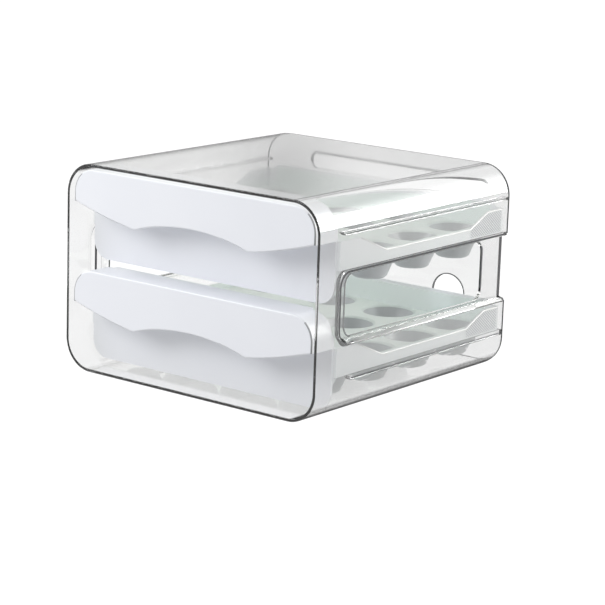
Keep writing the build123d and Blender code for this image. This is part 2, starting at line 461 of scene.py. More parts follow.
@dataclass(frozen=True)
class GreenPolystyrene(MilkyPlastic):
    """Moulded polystyrene with a pale green tint.

    To the eye it is a soft mint white, half see-through, with a soft gloss.
    """

    name: str = "green tinted polystyrene, moulded"
    colour: str = "#F8FCFA"
    shade_colour: str = "#F2F9F6"
    index_of_refraction: float = 1.56
    roughness: float = 0.3
    rough_spread: float = 0.05
    grain_mm: float = 1.2
    grain_depth_mm: float = 0.01
    grain_detail: float = 2.0
    grain_strength: float = 0.2
    cloud_mm: float = 30.0
    see_through: float = 0.5
    glow_through: float = 0.35
    light_share: float = 1.0


def dress(node: str, material: bpy.types.Material) -> None:
    """Give a carried-over node its finished material.

    Args:
        node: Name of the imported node.
        material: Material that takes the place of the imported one.
    """
    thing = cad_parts[node]
    for slot in thing.material_slots:
        slot.material = material
    LOG.info("%s wears %s", node, material.name)


def arc(
    middle: tuple[float, float], radius: float, start_deg: float, end_deg: float
) -> list[tuple[float, float]]:
    """Lay points along a round corner.

    Args:
        middle: Middle of the corner's circle, in millimetres.
        radius: Radius of the corner in millimetres.
        start_deg: Angle of the first point, from the first axis towards the second.
        end_deg: Angle of the last point.

    Returns:
        The points from start to end.
    """
    steps = max(2, math.ceil(abs(end_deg - start_deg) / CORNER_STEP_DEG))
    turns = [math.radians(start_deg + (end_deg - start_deg) * i / steps) for i in range(steps + 1)]
    return [(middle[0] + radius * math.cos(turn), middle[1] + radius * math.sin(turn)) for turn in turns]


def tube(
    name: str, path: list[Vector], flat: Vector, radius: float, closed: bool, reach: float | None = None
) -> bpy.types.Mesh:
    """Sweep a round or oval section along a path that lies in one plane.

    Args:
        name: Name of the mesh.
        path: Points of the path in metres.
        flat: Unit normal of the path's plane.
        radius: Radius of the section in metres.
        closed: True where the path runs round to its start.
        reach: Half of an oval section's size across the plane, or None for a round one.

    Returns:
        The tube, with end caps where it is open.
    """
    across = radius if reach is None else reach
    count = len(path)
    points: list[Vector] = []
    for i, spot in enumerate(path):
        before = path[i - 1] if closed or i > 0 else spot
        after = path[(i + 1) % count] if closed or i < count - 1 else spot
        side = (after - before).normalized().cross(flat)
        for step in range(TUBE_SIDES):
            turn = math.tau * step / TUBE_SIDES
            points.append(spot + side * radius * math.cos(turn) + flat * across * math.sin(turn))
    faces: list[list[int]] = []
    for i in range(count if closed else count - 1):
        here = i * TUBE_SIDES
        there = (i + 1) % count * TUBE_SIDES
        for step in range(TUBE_SIDES):
            following = (step + 1) % TUBE_SIDES
            faces.append([here + step, there + step, there + following, here + following])
    if not closed:
        last = (count - 1) * TUBE_SIDES
        faces.append(list(range(TUBE_SIDES)))
        faces.append([last + step for step in reversed(range(TUBE_SIDES))])
    mesh = bpy.data.meshes.new(name)
    mesh.from_pydata(points, [], faces)
    shape = bmesh.new()
    shape.from_mesh(mesh)
    bmesh.ops.recalc_face_normals(shape, faces=shape.faces)
    shape.to_mesh(mesh)
    shape.free()
    for polygon in mesh.polygons:
        polygon.use_smooth = len(polygon.vertices) == 4
    return mesh


def add_piece(
    name: str, mesh: bpy.types.Mesh, finish: bpy.types.Material | None, body: str
) -> None:
    """Put a finished mesh in the scene as a piece of the object.

    Args:
        name: Name of the piece.
        mesh: Its mesh, in the shared frame.
        finish: Its material, or None where the mesh has it already.
        body: Body that carries it.
    """
    if finish is not None:
        mesh.materials.append(finish)
    piece = bpy.data.objects.new(name, mesh)
    bpy.context.scene.collection.objects.link(piece)
    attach(piece, body)
    LOG.info("%s has %d faces", name, len(mesh.polygons))


@dataclass
class Casing:
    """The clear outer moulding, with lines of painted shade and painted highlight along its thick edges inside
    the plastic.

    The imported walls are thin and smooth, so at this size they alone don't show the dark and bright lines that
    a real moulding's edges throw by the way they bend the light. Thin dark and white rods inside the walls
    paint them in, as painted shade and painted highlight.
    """

    finish: ClearPolystyrene = field(default_factory=ClearPolystyrene)
    # Colours of the edge lines: painted shade in two depths, and a painted highlight.
    dark: PaintedEdgeLine = PaintedEdgeLine("clear polystyrene, deep step edge", "#1E1F22", "#34353A")
    middle: PaintedEdgeLine = PaintedEdgeLine("clear polystyrene, thick corner edge", "#66676A", "#8A8B8D")
    bright: PaintedEdgeLine = PaintedEdgeLine(
        "clear polystyrene, ledge edge that catches the light", "#FFFFFF", "#F4F6F6", 0.3, 0.4
    )
    half_width_mm: float = 120.0
    rear_mm: float = 119.0
    height_mm: float = 159.0
    corner_mm: float = 24.0
    wall_mm: float = 2.2
    rear_round_mm: float = 4.0
    recess_depth_mm: float = 6.0
    recess_slant_mm: float = 5.0
    recess_draft_mm: float = 1.0
    recess_front_mm: float = -92.5
    recess_low_mm: float = 55.0
    recess_high_mm: float = 105.5
    recess_corner_mm: float = 10.0
    window_front_mm: float = -80.0
    window_rear_mm: float = 93.0
    window_low_mm: float = 57.4
    window_high_mm: float = 103.1
    window_corner_mm: float = 9.0
    slot_left_mm: float = -72.0
    slot_right_mm: float = 98.0
    slot_low_mm: float = 131.5
    slot_high_mm: float = 143.5
    slot_corner_mm: float = 5.0
    vent_x_mm: float = 67.4
    vent_z_mm: float = 51.5
    vent_radius_mm: float = 14.8
    rail_middle_mm: float = 115.5
    upper_rail_z_mm: float = 133.7
    upper_rail_front_mm: float = -86.0
    lower_rail_z_mm: float = 27.7
    lower_rail_front_mm: float = -74.5
    lower_rail_reach_mm: float = 2.0
    rail_end_mm: float = 4.0
    rail_line_mm: float = 0.4
    recess_line_mm: float = 0.8
    window_line_mm: float = 0.5
    outline_end_deg: float = 262.0
    ledge_line_mm: float = 0.3
    ledge_inset_mm: float = 3.1
    ledge_reach_mm: float = 2.7
    ledge_below_recess_mm: float = 0.8
    ledge_behind_window_mm: float = 6.0
    rear_line_mm: float = 1.15
    rear_line_proud_mm: float = 0.75
    rear_step_outer_mm: float = 1.5
    rear_step_inner_mm: float = 2.0
    slot_line_mm: float = 0.95
    vent_line_mm: float = 0.4
    ridge_line_mm: float = 0.45
    ridge_reach_mm: float = 1.0
    ridge_end_mm: float = 3.0

    def build(self) -> None:
        """Dress the casing and lay its edge lines of painted shade and painted highlight."""
        dress("casing", self.finish.build())
        dark = self.dark.build()
        middle = self.middle.build()
        bright = self.bright.build()
        ledge_z = self.recess_low_mm - self.ledge_below_recess_mm
        ledge = [(self.window_front_mm + self.ledge_behind_window_mm, ledge_z),
                 (self.rear_mm - self.rear_round_mm, ledge_z)]
        rail_rear = self.rear_mm - self.rail_end_mm
        upper_rail = [(self.upper_rail_front_mm, self.upper_rail_z_mm), (rail_rear, self.upper_rail_z_mm)]
        lower_rail = [(self.lower_rail_front_mm, self.lower_rail_z_mm), (rail_rear, self.lower_rail_z_mm)]
        ridge_y = self.rear_mm - self.ridge_end_mm
        # Painted shade along the recess, window, ridge and rails, and a painted highlight along the ledge.
        for side in Side:
            name, sign = side.name.lower(), side.value
            ridge_x = (self.half_width_mm - self.corner_mm) * sign
            self.line("casing_recess_edge_" + name, self.recess_path(), Axis.X, self.recess_x() * sign,
                      self.recess_line_mm, False, dark)
            self.line("casing_window_edge_" + name, self.window_path(), Axis.X, self.window_x() * sign,
                      self.window_line_mm, False, middle)
            self.line("casing_ledge_edge_" + name, ledge, Axis.X,
                      (self.half_width_mm - self.ledge_inset_mm) * sign,
                      self.ledge_line_mm, False, bright, self.ledge_reach_mm)
            self.line("casing_ridge_" + name, [(ridge_x, -ridge_y), (ridge_x, ridge_y)], Axis.Z,
                      self.height_mm - self.wall_mm / 2,
                      self.ridge_line_mm, False, dark, self.ridge_reach_mm)
            self.line("casing_rail_shade_" + name, upper_rail, Axis.X, self.rail_middle_mm * sign,
                      self.rail_line_mm, False, middle)
            self.line("casing_support_shade_" + name, lower_rail, Axis.X, self.rail_middle_mm * sign,
                      self.rail_line_mm, False, middle, self.lower_rail_reach_mm)
        # Painted shade along the rear corner, the slot and the round hole.
        back = self.rear_mm - self.wall_mm / 2
        self.line("casing_rear_edge", self.rear_path(), Axis.Y, self.rear_mm - self.rear_inset(),
                  self.rear_line_mm, True, dark)
        self.line("casing_slot_edge", self.slot_path(), Axis.Y, back, self.slot_line_mm, False, dark)
        vent = arc((self.vent_x_mm, self.vent_z_mm), self.vent_radius_mm + self.vent_line_mm, 0.0, 360.0)[:-1]
        self.line("casing_vent_edge", vent, Axis.Y, back, self.vent_line_mm, True, middle)

    def line(
        self,
        name: str,
        path: list[tuple[float, float]],
        axis: Axis,
        level_mm: float,
        radius_mm: float,
        closed: bool,
        finish: bpy.types.Material,
        reach_mm: float | None = None,
    ) -> None:
        """Lay one edge line of painted shade or painted highlight inside the casing's wall.

        Args:
            name: Name of the piece.
            path: Its points in millimetres, on the two axes other than the one its plane faces.
            axis: Axis that its plane faces.
            level_mm: Place of the plane along that axis.
            radius_mm: Half of the line's thickness.
            closed: True where it runs round to its start.
            finish: Material of the line.
            reach_mm: Half of an oval line's width across its plane.
        """
        spots = []
        for pair in path:
            place = list(pair)
            place.insert(axis.value, level_mm)
            spots.append(Vector(place) * MM)
        flat = Vector([float(axis.value == i) for i in range(3)])
        mesh = tube(name, spots, flat, radius_mm * MM, closed, None if reach_mm is None else reach_mm * MM)
        add_piece(name, mesh, finish, "casing")

    def rear_inset(self) -> float:
        """Return how far the rear corner's line lies inside the outer faces, midway round the corner."""
        reach = self.rear_round_mm + self.rear_line_proud_mm - self.rear_line_mm
        return self.rear_round_mm - reach * math.sqrt(0.5)

    def recess_x(self) -> float:
        """Return the place of the recess's edge line, in the middle of its slanting step."""
        return self.half_width_mm - self.recess_depth_mm / 2 - self.wall_mm / 3

    def window_x(self) -> float:
        """Return the place of the window's edge line across the recess's wall."""
        return self.half_width_mm - self.recess_depth_mm - self.wall_mm / 2

    def recess_path(self) -> list[tuple[float, float]]:
        """Follow the recess's outline from the rear along its top, round the front and under it.

        Returns:
            Points on Y and Z.
        """
        grow = (self.wall_mm - self.recess_draft_mm) / 2
        corner = self.recess_corner_mm
        inner = self.recess_front_mm + (self.recess_slant_mm - self.recess_draft_mm) / 2 + corner
        return (
            [(self.rear_mm - self.rear_round_mm, self.recess_high_mm + grow)]
            + arc((inner, self.recess_high_mm - corner), corner + grow, 90.0, 180.0)
            + arc((inner, self.recess_low_mm + corner), corner + grow, 180.0, self.outline_end_deg)
        )

    def window_path(self) -> list[tuple[float, float]]:
        """Follow the window's outline up its rear end, along its top and down its front end.

        Returns:
            Points on Y and Z.
        """
        grow = self.window_line_mm
        corner = self.window_corner_mm
        rear, front = self.window_rear_mm - corner, self.window_front_mm + corner
        high, low = self.window_high_mm - corner, self.window_low_mm + corner
        return (
            [(self.window_rear_mm + grow, low)]
            + arc((rear, high), corner + grow, 0.0, 90.0)
            + arc((front, high), corner + grow, 90.0, 180.0)
            + arc((front, low), corner + grow, 180.0, self.outline_end_deg)
        )

    def slot_path(self) -> list[tuple[float, float]]:
        """Follow the slot's outline up its left end, along its top and down its right end.

        Returns:
            Points on X and Z.
        """
        grow = self.slot_line_mm
        corner = self.slot_corner_mm
        left, right = self.slot_left_mm + corner, self.slot_right_mm - corner
        high = self.slot_high_mm - corner
        return (
            [(self.slot_left_mm - grow, self.slot_low_mm + corner)]
            + arc((left, high), corner + grow, 180.0, 90.0)
            + arc((right, high), corner + grow, 90.0, 0.0)
        )

    def rear_path(self) -> list[tuple[float, float]]:
        """Follow the casing's rear corner all round, stepping in with the side recesses.

        Returns:
            Points on X and Z.
        """
        inset = self.rear_inset()
        corner = self.corner_mm - inset
        across = self.half_width_mm - self.corner_mm
        low, high = self.corner_mm, self.height_mm - self.corner_mm
        outer = self.half_width_mm - inset
        inner = outer - self.recess_depth_mm
        right = [
            (outer, self.recess_low_mm - self.rear_step_outer_mm),
            (inner, self.recess_low_mm + self.rear_step_inner_mm),
            (inner, self.recess_high_mm - self.rear_step_inner_mm),
            (outer, self.recess_high_mm + self.rear_step_outer_mm),
        ]
        left = [(-x, z) for x, z in reversed(right)]
        return (
            right
            + arc((across, high), corner, 0.0, 90.0)
            + arc((-across, high), corner, 90.0, 180.0)
            + left
            + arc((-across, low), corner, 180.0, 270.0)
            + arc((across, low), corner, 270.0, 360.0)
        )


@dataclass
class LipShade:
    """Line of painted shade along the rounded front edge at the two ends of a white lip."""

    level: Level
    corner_mm: float = 18.0
    straight_mm: float = 7.5
    behind_front_mm: float = 0.7
    radius_mm: float = 0.75
    inset_mm: float = 0.7
    top_deg: float = 52.0

    def build(self, finish: bpy.types.Material) -> None:
        """Lay the two lines.

        Args:
            finish: Their material.
        """
        low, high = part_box(self.level.value + "_drawer_front")
        y = low.y + self.behind_front_mm * MM
        half = high.x / MM
        top = high.z / MM
        middle = (half - self.corner_mm, top - self.corner_mm)
        curve = arc(middle, self.corner_mm - self.inset_mm, 0.0, self.top_deg)
        outline = [(half - self.inset_mm, top - self.corner_mm - self.straight_mm)] + curve
        for side in Side:
            path = [Vector((x * side.value * MM, y, z * MM)) for x, z in outline]
            name = "%s_drawer_lip_shade_%s" % (self.level.value, side.name.lower())
            mesh = tube(name, path, Vector((0.0, 1.0, 0.0)), self.radius_mm * MM, False)
            add_piece(name, mesh, finish, self.level.value + "_drawer")


@dataclass
class FrameWall:
    """Outline that the two side walls of a drawer frame share: a notched rim with a high block at the rear.

    Heights count from the underside of the frame's floor. The rim's end and the notch's start count from the
    frame's front, and the other lengths from its rear.
    """

    level: Level
    seat_mm: float = 1.8
    rim_mm: float = 21.0
    notch_mm: float = 8.0
    block_mm: float = 18.5
    rim_end_mm: float = 24.0
    notch_start_mm: float = 55.0
    notch_end_mm: float = 46.5
    block_start_mm: float = 23.5
    block_end_mm: float = 6.0

    def box(self) -> tuple[Vector, Vector]:
        """Return the low and high corner of the frame's box."""
        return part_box(self.level.value + "_drawer_frame")

    def floor(self) -> float:
        """Return the height of the floor's underside, a ledge's thickness under the egg rack."""
        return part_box(self.level.value + "_egg_rack")[0].z - self.seat_mm * MM


@dataclass
class NotchRim:
    """Polished bead along the notched rim of a drawer frame's two side walls, which catches the light and wears
    a painted highlight.
    """

    wall: FrameWall
    radius_mm: float = 0.7
    inset_mm: float = 0.5

    def build(self, finish: bpy.types.Material) -> None:
        """Lay the two beads.

        Args:
            finish: Their material.
        """
        wall = self.wall
        low, high = wall.box()
        floor = wall.floor()
        outline = (
            (low.y + wall.rim_end_mm * MM, wall.rim_mm),
            (low.y + wall.notch_start_mm * MM, wall.notch_mm),
            (high.y - wall.notch_end_mm * MM, wall.notch_mm),
            (high.y - wall.block_start_mm * MM, wall.block_mm),
            (high.y - wall.block_end_mm * MM, wall.block_mm),
        )
        drawer = wall.level.value + "_drawer"
        for side in Side:
            x = (high.x - self.inset_mm * MM) * side.value
            path = [Vector((x, y, floor + (z - self.inset_mm) * MM)) for y, z in outline]
            name = drawer + "_rim_" + side.name.lower()
            mesh = tube(name, path, Vector((1.0, 0.0, 0.0)), self.radius_mm * MM, False)
            add_piece(name, mesh, finish, drawer)


@dataclass
class GripRibs:
    """Fine slanting ribs on the high rear block of a drawer frame's two side walls.

    A rib's ends follow from where its slanting line leaves the block: the floor of the wall, the rim, the
    slope up from the notch and the rounded rear corner.
    """

    wall: FrameWall
    slant_deg: float = 38.0
    spacing_mm: float = 1.7
    radius_mm: float = 0.35
    proud_mm: float = 0.2
    foot_above_floor_mm: float = 1.2
    edge_margin_mm: float = 1.0
    shortest_mm: float = 1.5
    sides: int = 6

    def tree(self) -> bpy.types.GeometryNodeTree:
        """Build the node tree that lays the ribs out on both side walls.

        Returns:
            The tree, with its sizes as named inputs in metres.
        """
        group = bpy.data.node_groups.new("slanting grip ribs", "GeometryNodeTree")
        face = group.interface
        for kind, names in (
            ("NodeSocketFloat", ("Wall X", "Floor Z", "Rim Z", "Front Y", "Rear Y", "Slope Y", "Slope Z",
                                 "Slope Rise", "Slant", "Spacing", "Radius", "Shortest")),
            ("NodeSocketInt", ("Count", "Sides")),
            ("NodeSocketMaterial", ("Finish",)),
        ):
            for name in names:
                face.new_socket(name, in_out="INPUT", socket_type=kind)
        face.new_socket("Geometry", in_out="OUTPUT", socket_type="NodeSocketGeometry")
        size = add_node(group, "NodeGroupInput").outputs
        known: dict[str, bpy.types.NodeSocket] = {socket.name: socket for socket in size}
        known["Index"] = add_node(group, "GeometryNodeInputIndex").outputs[0]
        # "Across" is a rib's distance from the frame's origin, square to the ribs, and "Foot" is the same for
        # the block's front foot. "Start" and "End" count along the rib, down to the rear, from the point on
        # its line that is nearest to the origin.
        for name, operation, first, second in (
            ("Sine", "SINE", "Slant", 0.0),
            ("Cosine", "COSINE", "Slant", 0.0),
            ("Foot by Y", "MULTIPLY", "Front Y", "Sine"),
            ("Foot by Z", "MULTIPLY", "Floor Z", "Cosine"),
            ("Foot", "ADD", "Foot by Y", "Foot by Z"),
            ("Place in Row", "ADD", "Index", 0.5),
            ("Row Length", "MULTIPLY", "Place in Row", "Spacing"),
            ("Across", "ADD", "Foot", "Row Length"),
            ("Across Y", "MULTIPLY", "Across", "Sine"),
            ("Across Z", "MULTIPLY", "Across", "Cosine"),
            ("Drop to Rim", "SUBTRACT", "Across Z", "Rim Z"),
            ("Start by Rim", "DIVIDE", "Drop to Rim", "Sine"),
            ("Way to Front", "SUBTRACT", "Front Y", "Across Y"),
            ("Start by Front", "DIVIDE", "Way to Front", "Cosine"),
            ("Slope Fall", "MULTIPLY", "Slope Y", "Slope Rise"),
            ("Slope Level", "SUBTRACT", "Slope Z", "Slope Fall"),
            ("Slope Climb", "MULTIPLY", "Across Y", "Slope Rise"),
            ("Slope Height", "ADD", "Slope Level", "Slope Climb"),
            ("Drop to Slope", "SUBTRACT", "Across Z", "Slope Height"),
            ("Slope Lean", "MULTIPLY", "Cosine", "Slope Rise"),
            ("Slope Meeting", "ADD", "Sine", "Slope Lean"),
            ("Start by Slope", "DIVIDE", "Drop to Slope", "Slope Meeting"),
            ("Start by Edges", "MAXIMUM", "Start by Rim", "Start by Front"),
            ("Start", "MAXIMUM", "Start by Edges", "Start by Slope"),
            ("Drop to Floor", "SUBTRACT", "Across Z", "Floor Z"),
            ("End by Floor", "DIVIDE", "Drop to Floor", "Sine"),
            ("Way to Rear", "SUBTRACT", "Rear Y", "Across Y"),
            ("End by Rear", "DIVIDE", "Way to Rear", "Cosine"),
            ("End", "MINIMUM", "End by Floor", "End by Rear"),
            ("Length", "SUBTRACT", "End", "Start"),
            ("Both Ends", "ADD", "Start", "End"),
            ("Middle", "MULTIPLY", "Both Ends", 0.5),
            ("Middle Onward", "MULTIPLY", "Middle", "Cosine"),
            ("Middle Y", "ADD", "Across Y", "Middle Onward"),
            ("Middle Down", "MULTIPLY", "Middle", "Sine"),
            ("Middle Z", "SUBTRACT", "Across Z", "Middle Down"),
            ("Upright Turn", "ADD", "Slant", QUARTER_TURN),
            ("Turn", "MULTIPLY", "Upright Turn", -1.0),
            ("Kept", "GREATER_THAN", "Length", "Shortest"),
        ):
            step = add_node(
                group, "ShaderNodeMath", {"operation": operation},
                {0: known.get(first, first), 1: known.get(second, second)},
            )
            known[name] = step.outputs[0]
        spot = add_node(
            group, "ShaderNodeCombineXYZ", {},
            {"X": size["Wall X"], "Y": known["Middle Y"], "Z": known["Middle Z"]},
        )
        line = add_node(group, "GeometryNodeMeshLine", {}, {"Count": size["Count"]})
        placed = add_node(
            group, "GeometryNodeSetPosition", {},
            {"Geometry": line.outputs["Mesh"], "Position": spot.outputs[0]},
        )
        rod = add_node(
            group, "GeometryNodeMeshCylinder", {"fill_type": "NGON"},
            {"Vertices": size["Sides"], "Radius": size["Radius"], "Depth": 1.0},
        )
        angle = add_node(group, "ShaderNodeCombineXYZ", {}, {"X": known["Turn"]})
        stretch = add_node(group, "ShaderNodeCombineXYZ", {}, {"X": 1.0, "Y": 1.0, "Z": known["Length"]})
        ribs = add_node(
            group, "GeometryNodeInstanceOnPoints", {},
            {"Points": placed.outputs["Geometry"], "Selection": known["Kept"],
             "Instance": rod.outputs["Mesh"], "Rotation": angle.outputs[0], "Scale": stretch.outputs[0]},
        )
        right = add_node(group, "GeometryNodeRealizeInstances", {}, {"Geometry": ribs.outputs["Instances"]})
        mirrored = add_node(
            group, "GeometryNodeTransform", {},
            {"Geometry": right.outputs["Geometry"], "Scale": (-1.0, 1.0, 1.0)},
        )
        left = add_node(group, "GeometryNodeFlipFaces", {}, {"Mesh": mirrored.outputs["Geometry"]})
        both = add_node(group, "GeometryNodeJoinGeometry")
        for part in (left.outputs["Mesh"], right.outputs["Geometry"]):
            group.links.new(part, both.inputs["Geometry"])
        real = add_node(group, "GeometryNodeRealizeInstances", {}, {"Geometry": both.outputs["Geometry"]})
        worn = add_node(
            group, "GeometryNodeSetMaterial", {},
            {"Geometry": real.outputs["Geometry"], "Material": size["Finish"]},
        )
        add_node(group, "NodeGroupOutput", {}, {"Geometry": worn.outputs["Geometry"]})
        return group

    def build(self, finish: bpy.types.Material) -> None:
        """Lay the ribs on the frame's walls and bake them to a plain mesh that rides on its drawer.

        Args:
            finish: Material of the ribs.
        """
        wall = self.wall
        high = wall.box()[1]
        floor = wall.floor()
        slope_y = high.y - wall.notch_end_mm * MM
        margin = self.edge_margin_mm * MM
        sizes = {
            "Wall X": high.x + (self.proud_mm - self.radius_mm) * MM,
            "Floor Z": floor + self.foot_above_floor_mm * MM,
            "Rim Z": floor + wall.block_mm * MM - margin,
            "Front Y": slope_y,
            "Rear Y": high.y - wall.block_end_mm * MM,
            "Slope Y": slope_y,
            "Slope Z": floor + wall.notch_mm * MM - margin,
            "Slope Rise": (wall.block_mm - wall.notch_mm) / (wall.notch_end_mm - wall.block_start_mm),
            "Slant": math.radians(self.slant_deg),
            "Spacing": self.spacing_mm * MM,
            "Radius": self.radius_mm * MM,
            "Shortest": self.shortest_mm * MM,
            "Count": int((wall.notch_end_mm + wall.block_mm) / self.spacing_mm),
            "Sides": self.sides,
            "Finish": finish,
        }
        drawer = wall.level.value + "_drawer"
        name = drawer + "_grip_ribs"
        maker = bpy.data.objects.new(name + "_maker", bpy.data.meshes.new(name + "_seed"))
        bpy.context.scene.collection.objects.link(maker)
        modifier = maker.modifiers.new("ribs", "NODES")
        modifier.node_group = self.tree()
        for item in modifier.node_group.interface.items_tree:
            if item.in_out == "INPUT":
                modifier[item.identifier] = sizes[item.name]
        depsgraph = bpy.context.evaluated_depsgraph_get()
        mesh = bpy.data.meshes.new_from_object(maker.evaluated_get(depsgraph))
        mesh.name = name
        bpy.data.objects.remove(maker)
        add_piece(name, mesh, None, drawer)


@dataclass
class Finishes:
    """Materials that the two drawers share."""

    white: bpy.types.Material
    frosted: bpy.types.Material
    green: bpy.types.Material
    cups: bpy.types.Material
    rim: bpy.types.Material
    ribs: bpy.types.Material
    lip_painted_shade: bpy.types.Material


@dataclass
class Drawer:
    """One drawer: white front, frosted frame and green egg rack with its rows of cups."""

    level: Level
    finishes: Finishes
    cup_rows: int = 4

    def build(self) -> None:
        """Dress the drawer's nodes, and add its grip ribs, rim beads and the painted shade on its lip's ends.
        """
        name = self.level.value
        dress(name + "_drawer_front", self.finishes.white)
        dress(name + "_drawer_frame", self.finishes.frosted)
        dress(name + "_egg_rack", self.finishes.green)
        for row in range(1, self.cup_rows + 1):
            dress("%s_egg_cups_row_%d" % (name, row), self.finishes.cups)
        wall = FrameWall(self.level)
        GripRibs(wall).build(self.finishes.ribs)
        NotchRim(wall).build(self.finishes.rim)
        LipShade(self.level).build(self.finishes.lip_painted_shade)


@dataclass(frozen=True)
class SkyPatch:
    """Round patch of the surroundings with a soft edge, which the box mirrors as a highlight or a shade.

    Its strength is the light that a bright patch adds, or the share of the light that a dark flag takes.
    """

    toward: tuple[float, float, float]
    strength: float
    tightness: float


@dataclass(frozen=True)
class Softbox:
    """Large rectangular soft lamp."""

    name: str
    place: tuple[float, float, float]
    aim: tuple[float, float, float]
    size: tuple[float, float]
    power_w: float

    def hang(self) -> None:
        """Hang the lamp in its place, facing its aim."""
        lamp = bpy.data.lights.new(self.name, "AREA")
        lamp.shape = "RECTANGLE"
        lamp.size, lamp.size_y = self.size
        lamp.energy = self.power_w
        thing = bpy.data.objects.new(self.name, lamp)
        thing.location = self.place
        thing.rotation_euler = (Vector(self.aim) - Vector(self.place)).to_track_quat("-Z", "Y").to_euler()
        bpy.context.scene.collection.objects.link(thing)


